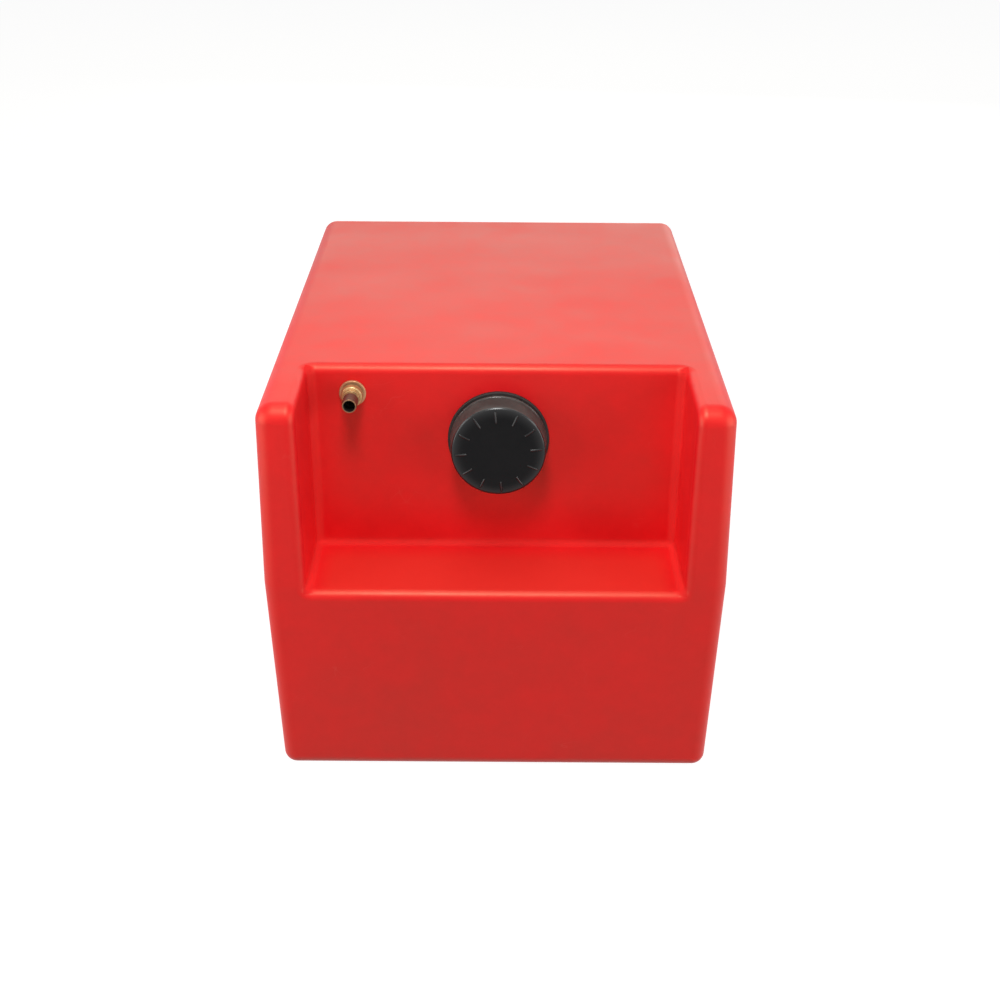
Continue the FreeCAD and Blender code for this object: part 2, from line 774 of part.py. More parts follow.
def outlet_fitting():
    """The brass outlet: a round grip, a hose tail outside, a thread in the bush and a tail inside."""
    body = new_body("fitting_body")
    thread = "Sizes.outlet_thread / 2"
    shank_foot = "-Sizes.bush_length"
    inner_mouth = "-(Sizes.bush_length + Sizes.inner_tail_length)"
    inner_root = "Sizes.inner_tail_root / 2"
    inner_crest = "Sizes.inner_tail_crest / 2"
    grip = "Sizes.grip_width / 2"
    shoulder = "Sizes.shoulder_width / 2"
    root = "Sizes.tail_root / 2"
    crest = "Sizes.tail_crest / 2"
    outer_start = f"({TAIL_TOP} - {TAIL_BARB_COUNT} * Sizes.barb_pitch)"
    inner_start = f"(-Sizes.bush_length - Sizes.inner_tail_length + {INNER_BARB_COUNT} * Sizes.barb_pitch)"
    inner = barbs(INNER_BARB_COUNT, inner_start, inner_root, inner_crest, down=True)
    outer = barbs(TAIL_BARB_COUNT, outer_start, root, crest, down=False)
    corners = [("0", TAIL_TOP), ("0", inner_mouth), (inner_root, inner_mouth)]
    corners += inner[::-1]
    corners += [(inner_root, shank_foot), (thread, shank_foot), (thread, WASHER_TOP)]
    corners += [(grip, WASHER_TOP), (grip, GRIP_TOP), (shoulder, GRIP_TOP)]
    corners += [(shoulder, SHOULDER_TOP), (root, SHOULDER_TOP)]
    corners += outer
    corners.append((root, TAIL_TOP))
    turned = revolve(body, "fitting_turn", corners)
    edge = size("grip_width") / 2
    top = size("bush_flange_thickness") + size("washer_thickness") + size("grip_length")
    dress(body, "Fillet", "grip_edge", turned, lambda e: is_ring(e, edge, top), "Sizes.grip_edge_radius")

    seat = "Sizes.seat_bore / 2"
    bore = "Sizes.tail_bore / 2"
    way = [
        ("0", inner_mouth),
        (seat, inner_mouth),
        (seat, "Sizes.seat_height"),
        (bore, "Sizes.seat_height"),
        (bore, TAIL_TOP),
        ("0", TAIL_TOP),
    ]
    revolve(body, "fuel_way", way, cut=True)
    at_outlet(body, "outlet_fitting")


def check_valve():
    """The anti-siphon valve in the outlet: a ball on a seat, its spring, and the ring that stops it."""
    ball = new_body("ball_body")
    sphere = ball.newObject("PartDesign::AdditiveSphere", "ball")
    sphere.AttachmentSupport = [(plane_of(ball, "XY_Plane"), "")]
    sphere.MapMode = "FlatFace"
    sphere.setExpression("Radius", "Sizes.ball_width / 2")
    sphere.setExpression(".AttachmentOffset.Base.z", BALL_CENTRE)
    document.recompute()
    at_outlet(ball, "check_ball")

    spring = coil(
        "check_spring",
        "Sizes.check_spring_width",
        "Sizes.check_spring_wire",
        CHECK_SPRING_FOOT,
        "Sizes.check_spring_length",
        "Sizes.check_spring_turns",
    )
    at_outlet(spring, "check_spring")
    wire = "Sizes.check_spring_wire / 2"
    foot = f"({CHECK_SPRING_FOOT} + Sizes.check_spring_length + {wire} + Sizes.rest_gap)"
    stop = ring(
        "spring_stop",
        "Sizes.stop_bore / 2",
        "Sizes.tail_bore / 2",
        foot,
        f"{foot} + Sizes.stop_thickness",
    )
    at_outlet(stop, "spring_stop")


def pickup_tube():
    """The pick-up tube: straight in behind the outlet, one bend, and straight down to the strainer."""
    body = new_body("tube_body")
    path = new_sketch(body, "tube_path", "YZ_Plane")
    bend = "Sizes.tube_bend"
    lean = "Sizes.recess_lean"
    bend_start = f"-({TUBE_START} + Sizes.tube_lead)"
    foot_across = f"-{bend} + {bend} * sin({lean}) - {TUBE_DROP} * cos({lean})"
    foot_along = f"{bend_start} - {bend} * cos({lean}) - {TUBE_DROP} * sin({lean})"
    lead = path.addGeometry(Part.LineSegment(Vector(0, -1, 0), Vector(0, -2, 0)))
    circle = Part.Circle(Vector(-1, -2, 0), Vector(0, 0, 1), 1)
    arc = path.addGeometry(Part.ArcOfCircle(circle, -math.pi / 2, 0))
    drop = path.addGeometry(Part.LineSegment(Vector(-1, -3, 0), Vector(-2, -3, 0)))
    path.addConstraint(Sketcher.Constraint("Coincident", lead, 2, arc, 2))
    path.addConstraint(Sketcher.Constraint("Coincident", arc, 1, drop, 1))
    pin_point(path, lead, 1, "0", f"-{TUBE_START}")
    pin_point(path, lead, 2, "0", bend_start)
    pin_point(path, arc, 3, f"-{bend}", bend_start)
    pin_across(path, arc, 1, f"-{bend} + {bend} * sin({lean})")
    pin_point(path, drop, 2, foot_across, foot_along)
    section = new_sketch(body, "tube_section", "XY_Plane", f"-{TUBE_START}")
    draw_circle(section, "Sizes.tube_width / 2")
    draw_circle(section, "Sizes.tube_bore / 2")
    document.recompute()
    tube = body.newObject("PartDesign::AdditivePipe", "tube")
    tube.Profile = section
    tube.Spine = (path, ["Edge1", "Edge2", "Edge3"])
    document.recompute()
    at_outlet(body, "pickup_tube")
    length = sum(edge.Length for edge in path.Shape.Edges)
    volume = math.pi / 4 * (size("tube_width") ** 2 - size("tube_bore") ** 2) * length
    if abs(body.Shape.Volume / volume - 1) > 0.01:
        raise RuntimeError(f"the tube's volume is {body.Shape.Volume:.0f}, and not {volume:.0f}")


def tube_ferrule():
    """The thin clamp band round the tube, over the outlet's inner tail."""
    top = f"-({TUBE_START} + Sizes.ferrule_inset)"
    inner = "Sizes.tube_width / 2 + Sizes.fit_gap"
    outer = "Sizes.ferrule_width / 2"
    sleeve = ring("ferrule", inner, outer, f"{top} - Sizes.ferrule_length", top)
    at_outlet(sleeve, "tube_ferrule")


def at_tube_end(piece, label):
    """Seats a piece's zero on the lower end of the tube."""
    piece.setExpression(".Placement.Base.x", OUTLET_ACROSS)
    lead = f"({TUBE_START} + Sizes.tube_lead) * cos(Sizes.recess_lean)"
    bend = "Sizes.tube_bend * (1 - sin(Sizes.recess_lean))"
    piece.setExpression(".Placement.Base.y", f"{wall_at(OUTLET_HEIGHT)} + {lead} + {bend}")
    piece.setExpression(".Placement.Base.z", TUBE_END)
    return keep(piece, label)


def strainer():
    """The pick-up strainer: a barbed plug in the tube's end and the closed screen that it carries."""
    below = "-Sizes.plug_flange"
    screen = new_body("screen_body")
    outer = "Sizes.strainer_width / 2"
    inner = f"({outer} - Sizes.strainer_wall)"
    foot = f"({below} - Sizes.strainer_length)"
    corners = [
        ("0", foot),
        (outer, foot),
        (outer, below),
        (inner, below),
        (inner, f"{foot} + Sizes.strainer_wall"),
        ("0", f"{foot} + Sizes.strainer_wall"),
    ]
    revolve(screen, "screen_turn", corners)
    at_tube_end(screen, "strainer_screen")

    plug = new_body("plug_body")
    spigot = "Sizes.inner_tail_root / 2"
    bore = "Sizes.seat_bore / 2"
    corners = [
        (bore, f"{below} - Sizes.plug_depth"),
        (inner, f"{below} - Sizes.plug_depth"),
        (inner, below),
        (outer, below),
        (outer, "0"),
        (spigot, "0"),
    ]
    barbs_foot = f"(Sizes.plug_length - {INNER_BARB_COUNT} * Sizes.barb_pitch)"
    corners += barbs(INNER_BARB_COUNT, barbs_foot, spigot, "Sizes.inner_tail_crest / 2", down=False)
    corners += [(spigot, "Sizes.plug_length"), (bore, "Sizes.plug_length")]
    revolve(plug, "plug_turn", corners)
    at_tube_end(plug, "strainer_plug")


def check_document():
    """Stops if any object failed to build, or any part is empty, broken or not one solid."""
    for thing in document.Objects:
        if "Invalid" in thing.State or "Error" in thing.State:
            raise RuntimeError(f"{thing.Name} ({thing.Label}) failed: {thing.State}")
    for label, piece in parts.items():
        shape = piece.Shape
        if shape.isNull() or not shape.isValid() or len(shape.Solids) != 1:
            raise RuntimeError(f"{label} isn't one valid solid")


def export_parts():
    """Writes each part to its own STEP file."""
    os.makedirs("parts", exist_ok=True)
    for label, piece in parts.items():
        piece.Shape.exportStep(f"parts/{label}.step")
        box = piece.Shape.BoundBox
        print(f"{label:16} {piece.Shape.Volume:12.1f} mm3  {box}")


fill_sheet()
tank_shell()
filler_neck()
cap_seals()
cap_core()
cap_shell()
vent_valve()
outlet_bush()
outlet_fitting()
check_valve()
pickup_tube()
tube_ferrule()
strainer()
document.recompute()
check_document()
export_parts()
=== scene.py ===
"""Outboard fuel tank: a red rotomoulded tank with a black screw cap and a brass hose outlet.

Sizes are in millimetres and meshes are made in metres. The recess faces -Y and +Z is up. Turned pieces
are worked out about the axis on which they stand on the recess wall, from that wall outwards.
"""

import bmesh
import bpy
import math
import numpy as np
from mathutils import Matrix, Vector


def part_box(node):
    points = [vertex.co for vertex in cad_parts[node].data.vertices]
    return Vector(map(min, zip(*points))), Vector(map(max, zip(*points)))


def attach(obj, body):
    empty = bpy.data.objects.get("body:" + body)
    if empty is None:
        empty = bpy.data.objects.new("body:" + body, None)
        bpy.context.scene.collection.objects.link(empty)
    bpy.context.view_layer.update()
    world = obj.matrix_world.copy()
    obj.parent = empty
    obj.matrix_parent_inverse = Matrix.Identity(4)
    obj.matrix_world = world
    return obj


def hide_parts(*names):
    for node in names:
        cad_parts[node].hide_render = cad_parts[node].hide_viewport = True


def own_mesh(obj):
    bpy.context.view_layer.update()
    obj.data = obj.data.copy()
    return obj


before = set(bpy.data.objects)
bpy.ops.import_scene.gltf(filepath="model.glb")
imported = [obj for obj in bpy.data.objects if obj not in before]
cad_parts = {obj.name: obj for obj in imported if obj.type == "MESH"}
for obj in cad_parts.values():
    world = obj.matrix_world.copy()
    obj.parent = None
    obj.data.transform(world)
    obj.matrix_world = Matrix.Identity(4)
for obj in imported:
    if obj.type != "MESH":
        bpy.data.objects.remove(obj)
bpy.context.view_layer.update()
MM = 0.001


# Camera. It stands in front of the tank and above it, and looks down into the recess. It is square to the
# tank but for a fraction of a degree.
CAMERA_LENS = 49.377
CAMERA_SENSOR = 36
CAMERA_PLACE = (3.98, -1261.25, 829.68)
CAMERA_DOWN = math.radians(28.557)
CAMERA_LEFT = math.radians(0.017)
CAMERA_TILT = math.radians(0.372)

camera = bpy.data.objects.new("camera", bpy.data.cameras.new("camera"))
camera.data.lens = CAMERA_LENS
camera.data.sensor_width = CAMERA_SENSOR
camera.matrix_world = (
    Matrix.Translation(Vector(CAMERA_PLACE) * MM)
    @ Matrix.Rotation(CAMERA_LEFT, 4, "Z")
    @ Matrix.Rotation(math.pi / 2 - CAMERA_DOWN, 4, "X")
    @ Matrix.Rotation(CAMERA_TILT, 4, "Z")
)
bpy.context.scene.collection.objects.link(camera)
bpy.context.scene.camera = camera


# Studio. A dull floor that is seen as a white ground. Soft lamps hang over the tank and steeply in front
# of it, where they throw the cap's shadow down the recess wall. Others stand low at both sides and at its
# back, and a broad warm one far behind lays the pale sheen on the top. This section is in metres.
FLOOR_REACH = 14
FLOOR_DROP = 0.0004
FLOOR_TONE = 0.2
FLOOR_GLOW = 0.95
AMBIENT = 0.06
LAMP_AIM = (0, -0.1, 0.25)
WHITE = (1, 1, 1, 1)


def add_node(tree, kind, inputs=None, **settings):
    """Adds a node. Settings are its own properties, and each input is a plain value or a linked socket."""
    made = tree.nodes.new("ShaderNode" + kind)
    for key, value in settings.items():
        setattr(made, key, value)
    for key, value in (inputs or {}).items():
        if isinstance(value, bpy.types.NodeSocket):
            tree.links.new(value, made.inputs[key])
        else:
            made.inputs[key].default_value = value
    return made


def maths(tree, operation, *values):
    """One Math node's result. Values are numbers or sockets."""
    return add_node(tree, "Math", dict(enumerate(values)), operation=operation).outputs[0]


def shown_plainly(tree):
    """1 for a ray from the camera, a mirror-like face or glass, and 0 for one that only carries light."""
    path = add_node(tree, "LightPath").outputs
    seen = maths(tree, "MAXIMUM", path["Is Camera Ray"], path["Is Glossy Ray"])
    return maths(tree, "MAXIMUM", seen, path["Is Transmission Ray"])


def new_material(name, inputs):
    """A material with one Principled shader. Returns the material and that shader."""
    material = bpy.data.materials.new(name)
    material.use_nodes = True
    shader = material.node_tree.nodes["Principled BSDF"]
    for key, value in inputs.items():
        shader.inputs[key].default_value = value
    return material, shader


def soft_lamp(name, place, width, height, watts, colour=(1, 1, 1)):
    """A rectangular lamp, turned towards the tank."""
    lamp = bpy.data.lights.new(name, "AREA")
    lamp.shape = "RECTANGLE"
    lamp.size = width
    lamp.size_y = height
    lamp.energy = watts
    lamp.color = colour
    holder = bpy.data.objects.new(name, lamp)
    turn = (Vector(LAMP_AIM) - Vector(place)).to_track_quat("-Z", "Y").to_matrix().to_4x4()
    holder.matrix_world = Matrix.Translation(place) @ turn
    holder.visible_camera = False
    bpy.context.scene.collection.objects.link(holder)


# The floor's own glow makes it white where it is seen, and it still takes the tank's shadow.
corner_signs = ((-1, -1), (1, -1), (1, 1), (-1, 1))
floor_corners = [(x * FLOOR_REACH, y * FLOOR_REACH, -FLOOR_DROP) for x, y in corner_signs]
floor_mesh = bpy.data.meshes.new("floor")
floor_mesh.from_pydata(floor_corners, [], [(0, 1, 2, 3)])
floor = bpy.data.objects.new("floor", floor_mesh)
bpy.context.scene.collection.objects.link(floor)
floor_paint, floor_shader = new_material(
    "floor_paint",
    {
        "Base Color": (FLOOR_TONE, FLOOR_TONE, FLOOR_TONE, 1),
        "Roughness": 0.9,
        "Specular IOR Level": 0,
        "Emission Color": WHITE,
    },
)
floor_tree = floor_paint.node_tree
floor_glow = maths(floor_tree, "MULTIPLY", shown_plainly(floor_tree), FLOOR_GLOW)
floor_tree.links.new(floor_glow, floor_shader.inputs["Emission Strength"])
floor_mesh.materials.append(floor_paint)

# The sky is white where it is seen, and lights the tank only faintly.
world = bpy.data.worlds.new("studio")
bpy.context.scene.world = world
world.use_nodes = True
sky_tree = world.node_tree
backdrop = sky_tree.nodes["Background"]
backdrop.inputs["Color"].default_value = WHITE
backdrop_gain = maths(sky_tree, "MULTIPLY_ADD", shown_plainly(sky_tree), 1 - AMBIENT, AMBIENT)
sky_tree.links.new(backdrop_gain, backdrop.inputs["Strength"])

soft_lamp("overhead", place=(-0.1, 0.02, 1.6), width=0.6, height=0.6, watts=2.8)
soft_lamp("high_front", place=(-0.1, -0.6, 1.4), width=0.3, height=0.3, watts=4.6)
soft_lamp("near_front", place=(-0.05, -0.7, 1.2), width=0.25, height=0.25, watts=5.0)
soft_lamp("left", place=(-1.2, -0.7, 0.5), width=1.1, height=1.1, watts=12.5)
soft_lamp("right", place=(1.2, -0.7, 0.5), width=1.1, height=1.1, watts=12.5)
soft_lamp("rear", place=(0.3, 2.6, 0.6), width=2.0, height=0.7, watts=8, colour=(1, 0.9, 0.76))
soft_lamp("behind", place=(0, 3.2, 2.0), width=3.4, height=1.5, watts=12, colour=(1, 0.88, 0.64))
bpy.context.scene.view_settings.view_transform = "Standard"


# Tank. Red polyethylene, rotomoulded in a two-part mould, so it is one hollow shell with soft edges. Its
# satin skin isn't quite flat. It has faint blotches from the mould and a few scuffs. The recess floor is
# paler, partly worn by rubbing and partly a painted sheen, and the recess corners are painted with shade.
LEAN = math.radians(2)
ACROSS = np.array([1.0, 0.0, 0.0])
UPWARD = np.array([0.0, math.sin(LEAN), math.cos(LEAN)])
OUTWARD = np.array([0.0, -math.cos(LEAN), math.sin(LEAN)])
RECESS_FOOT = (0.0, -175.0, 193.0)
RECESS_HALF = 163.5
# The painted shade in the recess corners goes from full to none over these distances, in mm.
SHADE_REACH = (3.0, 8.0)
CORNER_BLEND = 4.0
FACE_MARGIN = 2.0
# The recess floor's paler tone, partly worn and partly painted sheen, fades out over these reaches in mm.
RUB_SHEEN_OFF_FLOOR = (1.0, 4.0)
RUB_SHEEN_OFF_WALL = (4.0, 30.0)
RUB_SHEEN_OFF_SIDE = (2.0, 20.0)
SMALL_BLOTCHES = 6.0
SMALL_SHARE = 0.4
HAIRLINE = 0.006
SCUFF_PATCHES = 22.0
TONE_RANGE = (0.35, 0.65)
ROUGH_RANGE = (0.3, 0.7)


def new_group(name, inputs, outputs):
    """An empty shader group. Inputs are {name: default} and outputs are {name: socket kind}."""
    tree = bpy.data.node_groups.new(name, "ShaderNodeTree")
    for label, default in inputs.items():
        socket = tree.interface.new_socket(label, in_out="INPUT", socket_type="NodeSocketFloat")
        socket.default_value = default
    for label, kind in outputs.items():
        tree.interface.new_socket(label, in_out="OUTPUT", socket_type="NodeSocket" + kind)
    return tree, tree.nodes.new("NodeGroupInput"), tree.nodes.new("NodeGroupOutput")


def spread(tree, value, low, high, to_low, to_high, **settings):
    """A value carried from one range to another, and held at its ends."""
    inputs = {"Value": value, "From Min": low, "From Max": high, "To Min": to_low, "To Max": to_high}
    return add_node(tree, "MapRange", inputs, **settings).outputs[0]


def make_skin():
    """Moulded skin: blotches of noise in two sizes, and a height of shallow waves with a fine grain."""
    settings = {"Blotch Scale": 9.0, "Wave Scale": 14.0, "Grain Scale": 900.0, "Grain": 0.1}
    tree, given, result = new_group("moulded_skin", settings, {"Blotch": "Float", "Height": "Float"})
    place = add_node(tree, "TexCoord").outputs["Object"]

    def noise(scale, detail, roughness=0.5):
        """Noise at a scale, from 0 to 1."""
        inputs = {"Vector": place, "Scale": scale, "Detail": detail, "Roughness": roughness}
        return add_node(tree, "TexNoise", inputs).outputs["Fac"]

    broad = noise(given.outputs["Blotch Scale"], detail=3.0, roughness=0.6)
    small_scale = maths(tree, "MULTIPLY", given.outputs["Blotch Scale"], SMALL_BLOTCHES)
    small = noise(small_scale, detail=4.0, roughness=0.7)
    broad_part = maths(tree, "MULTIPLY", broad, 1 - SMALL_SHARE)
    blotch = maths(tree, "MULTIPLY_ADD", small, SMALL_SHARE, broad_part)
    tree.links.new(blotch, result.inputs["Blotch"])
    wave = noise(given.outputs["Wave Scale"], detail=1.0)
    grain = noise(given.outputs["Grain Scale"], detail=2.0)
    height = maths(tree, "MULTIPLY_ADD", grain, given.outputs["Grain"], wave)
    tree.links.new(height, result.inputs["Height"])
    return tree


def make_scuffs():
    """Scuffs: hairlines where stretched noise passes its middle value, kept in patches of a second noise.
    Cover is 0 for no patches, and 1 for patches wherever that noise is above its middle value."""
    tree, given, result = new_group("scuffs", {"Scale": 30.0, "Cover": 0.5}, {"Mask": "Float"})
    place = add_node(tree, "TexCoord").outputs["Object"]
    inputs = {"Vector": place, "Scale": (1.0, 3.2, 1.6), "Rotation": (0.2, 0.4, 0.5)}
    stretched = add_node(tree, "Mapping", inputs).outputs[0]
    inputs = {"Vector": stretched, "Scale": given.outputs["Scale"], "Detail": 1.5, "Distortion": 0.4}
    field = add_node(tree, "TexNoise", inputs).outputs["Fac"]
    near = maths(tree, "ABSOLUTE", maths(tree, "SUBTRACT", field, 0.5))
    line = spread(tree, near, 0, HAIRLINE, 1, 0)
    inputs = {"Vector": place, "Scale": SCUFF_PATCHES, "Detail": 2.0}
    patch = add_node(tree, "TexNoise", inputs).outputs["Fac"]
    edge = maths(tree, "SUBTRACT", 1.0, maths(tree, "MULTIPLY", given.outputs["Cover"], 0.5))
    kept = spread(tree, patch, edge, 1, 0, 1)
    tree.links.new(maths(tree, "MULTIPLY", line, kept), result.inputs["Mask"])
    return tree


def make_recess_painted_light_and_wear():
    """Painted shade and rubbing in the recess, from the distances to its wall, its floor and the nearer
    side.

    The corner mask is 1 on the lines where two of those faces meet and 0 a little way off, and paints shade
    into those corners: the distance from a line is the root of the sum of both faces' distances squared.
    The floor mask is 1 on the recess floor and fades out towards the wall and the sides. It stands for a
    floor worn where things are put down, and also paints the sheen of the light on that floor.
    """
    reach = {"Near": SHADE_REACH[0] * MM, "Far": SHADE_REACH[1] * MM}
    tree, given, result = new_group("recess_painted_light_and_wear", reach, {"Corner Shade": "Float", "Rub And Sheen": "Float"})
    place = add_node(tree, "TexCoord").outputs["Object"]
    foot = tuple(value * MM for value in RECESS_FOOT)
    place = add_node(tree, "VectorMath", {0: place, 1: foot}, operation="SUBTRACT").outputs[0]
    split = add_node(tree, "SeparateXYZ", {"Vector": place}).outputs
    inputs = {0: place, 1: tuple(OUTWARD)}
    wall = add_node(tree, "VectorMath", inputs, operation="DOT_PRODUCT").outputs["Value"]
    rise = split["Z"]
    side = maths(tree, "SUBTRACT", RECESS_HALF * MM, maths(tree, "ABSOLUTE", split["X"]))

    def from_line(first, second):
        """Distance from the line where two faces meet."""
        squares = [maths(tree, "POWER", distance, 2.0) for distance in (first, second)]
        return maths(tree, "SQRT", maths(tree, "ADD", *squares))

    gap = from_line(wall, rise)
    for first, second in ((wall, side), (side, rise)):
        gap = maths(tree, "SMOOTH_MIN", gap, from_line(first, second), CORNER_BLEND * MM)
    near, far = given.outputs["Near"], given.outputs["Far"]
    corner_shade = spread(tree, gap, near, far, 1, 0, interpolation_type="SMOOTHSTEP")
    for distance in (wall, rise, side):
        corner_shade = maths(tree, "MULTIPLY", corner_shade, maths(tree, "GREATER_THAN", distance, -FACE_MARGIN * MM))
    tree.links.new(corner_shade, result.inputs["Corner Shade"])

    def fade(distance, reach, start, end):
        """A share that goes from start to end as a distance crosses a reach."""
        return spread(tree, distance, reach[0] * MM, reach[1] * MM, start, end)

    # The floor's paler tone: partly worn, and partly a painted sheen of the light.
    rub_and_sheen = fade(maths(tree, "ABSOLUTE", rise), RUB_SHEEN_OFF_FLOOR, 1, 0)
    rub_and_sheen = maths(tree, "MULTIPLY", rub_and_sheen, fade(wall, RUB_SHEEN_OFF_WALL, 0, 1))
    rub_and_sheen = maths(tree, "MULTIPLY", rub_and_sheen, fade(side, RUB_SHEEN_OFF_SIDE, 0, 1))
    tree.links.new(rub_and_sheen, result.inputs["Rub And Sheen"])
    return tree


SKIN = make_skin()
SCUFFS = make_scuffs()
RECESS_PAINTED_LIGHT_AND_WEAR = make_recess_painted_light_and_wear()


def use_group(tree, group, **inputs):
    """Places a group in a material, with its inputs given by name (underscores stand for spaces)."""
    made = tree.nodes.new("ShaderNodeGroup")
    made.node_tree = group
    for key, value in inputs.items():
        made.inputs[key.replace("_", " ")].default_value = value
    return made.outputs


def mixed(tree, share, first, second):
    """A colour between two others, each a plain colour or a socket. A Mix node for colours takes its share
    at input 0 and its colours at inputs 6 and 7, and gives its result at output 2."""
    return add_node(tree, "Mix", {0: share, 6: first, 7: second}, data_type="RGBA").outputs[2]


def overlay(tree, colour, rough, attribute, over_colour, over_rough, patches=1.0):
    """Lays a second finish over the first, by a share that the piece carries as an attribute, times
    patches."""
    share = add_node(tree, "Attribute", attribute_name=attribute).outputs["Fac"]
    share = maths(tree, "MULTIPLY", share, patches)
    colour = mixed(tree, share, colour, (*over_colour, 1))
    gap = maths(tree, "SUBTRACT", over_rough, rough)
    return colour, maths(tree, "MULTIPLY_ADD", gap, share, rough)


def join_finish(tree, shader, colour, rough, height, bump):
    """Joins a colour, a roughness and a height to a shader. Bump is the height's depth in mm."""
    tree.links.new(colour, shader.inputs["Base Color"])
    tree.links.new(rough, shader.inputs["Roughness"])
    relief = add_node(tree, "Bump", {"Height": height, "Distance": bump * MM})
    tree.links.new(relief.outputs[0], shader.inputs["Normal"])


def plastic(
    name,
    colours,
    roughness,
    gloss,
    skin,
    bump,
    sheen=(1, 1, 1),
    scuff=None,
    painted_light_and_wear=None,
    worn=None,
    polish=None,
):
    """Moulded plastic: two tones blotched together, a roughness range, and the skin's height as bump in mm.

    Sheen tints its highlights, and scuff lays hairlines on it. The recess's own finish paints shade into
    its corners, and a paler floor that is partly worn by rubbing and partly a painted sheen. Worn is a
    duller finish, in patches, where a piece carries that attribute. Polish is the roughness of the coat
    that hands leave where a piece carries that one.
    """
    material, shader = new_material(name, {"Specular IOR Level": gloss, "Specular Tint": (*sheen, 1)})
    tree = material.node_tree
    surface = use_group(tree, SKIN, **skin)
    share = spread(tree, surface["Blotch"], *TONE_RANGE, 0, 1)
    colour = mixed(tree, share, (*colours[0], 1), (*colours[1], 1))
    rough = spread(tree, surface["Blotch"], *ROUGH_RANGE, *roughness)
    if scuff:
        lines = use_group(tree, SCUFFS, **scuff["lines"])["Mask"]
        lines = maths(tree, "MULTIPLY", lines, scuff["strength"])
        colour = mixed(tree, lines, colour, (*scuff["colour"], 1))
        rough = maths(tree, "MULTIPLY_ADD", lines, scuff["dulling"], rough)
    if painted_light_and_wear:
        # Painted shade darkens the recess corners; the floor is paler, partly worn and partly painted
        # sheen.
        recess = use_group(tree, RECESS_PAINTED_LIGHT_AND_WEAR)
        colour = mixed(tree, recess["Rub And Sheen"], colour, (*painted_light_and_wear["rub_and_sheen_colour"], 1))
        corner_shade = maths(tree, "MULTIPLY", recess["Corner Shade"], painted_light_and_wear["shade_strength"])
        colour = mixed(tree, corner_shade, colour, (*painted_light_and_wear["shade_colour"], 1))
        rough = maths(tree, "MULTIPLY_ADD", recess["Corner Shade"], painted_light_and_wear["corner_dulling"], rough)
    if worn:
        patches = spread(tree, surface["Blotch"], *worn["patches"], worn["least"], 1)
        colour, rough = overlay(tree, colour, rough, "worn", worn["colour"], worn["roughness"], patches)
    if polish:
        shader.inputs["Coat Roughness"].default_value = polish
        coat = add_node(tree, "Attribute", attribute_name="polish").outputs["Fac"]
        tree.links.new(coat, shader.inputs["Coat Weight"])
    join_finish(tree, shader, colour, rough, surface["Height"], bump)
    return material


def paint_nodes(material, *names):
    """Gives solids of the frame their finish."""
    for name in names:
        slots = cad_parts[name].data.materials
        slots.clear()
        slots.append(material)


TANK_RED = plastic(
    "red_polyethylene",
    colours=((0.63, 0.002, 0.0075), (0.74, 0.0045, 0.0105)),
    roughness=(0.38, 0.5),
    gloss=0.56,
    sheen=(1, 0.88, 0.55),
    skin={"Blotch_Scale": 7.0, "Wave_Scale": 11.0, "Grain_Scale": 700.0, "Grain": 0.012},
    bump=1.2,
    scuff={
        "lines": {"Scale": 26.0, "Cover": 0.9},
        "strength": 0.35,
        "colour": (0.78, 0.12, 0.1),
        "dulling": 0.3,
    },
    # The recess: a floor made paler by rubbing and by painted sheen, and corners darkened by painted shade.
    painted_light_and_wear={
        "rub_and_sheen_colour": (0.66, 0.018, 0.014),
        "shade_colour": (0.5, 0.001, 0.004),
        "shade_strength": 0.12,
        "corner_dulling": 0.4,
    },
)
paint_nodes(TANK_RED, "tank_shell")


# Filler neck. A black moulded neck, dusty and dulled by fuel: a flange on the recess wall and a collar
# with a coarse thread. It is moulded into the tank wall, with a ring behind it.
COLLAR_TOP = 22.5
COLLAR_RADIUS = 33.5
GASKET_THICKNESS = 2.0
THREAD_PITCH = 6.0
THREAD_TURNS = 1.25
THREAD_FOOT = 10.0
THREAD_DEPTH = 1.2
THREAD_SINK = 0.3
THREAD_ROOT = 3.0
THREAD_CREST = 1.1
THREAD_STEPS = 72
THREAD_TAPERS = 12
MERGE_GAP = 0.002
SHARP_CORNER = math.radians(40)


def axis_foot(ring, middle):
    """Where a turned piece's axis leaves the recess wall: the middle of a ring on that axis, less its
    height out from the wall."""
    low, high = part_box(ring)
    return np.array((low + high) / 2) / MM - middle * OUTWARD


FILLER_FOOT = axis_foot("cap_gasket", COLLAR_TOP + GASKET_THICKNESS / 2)


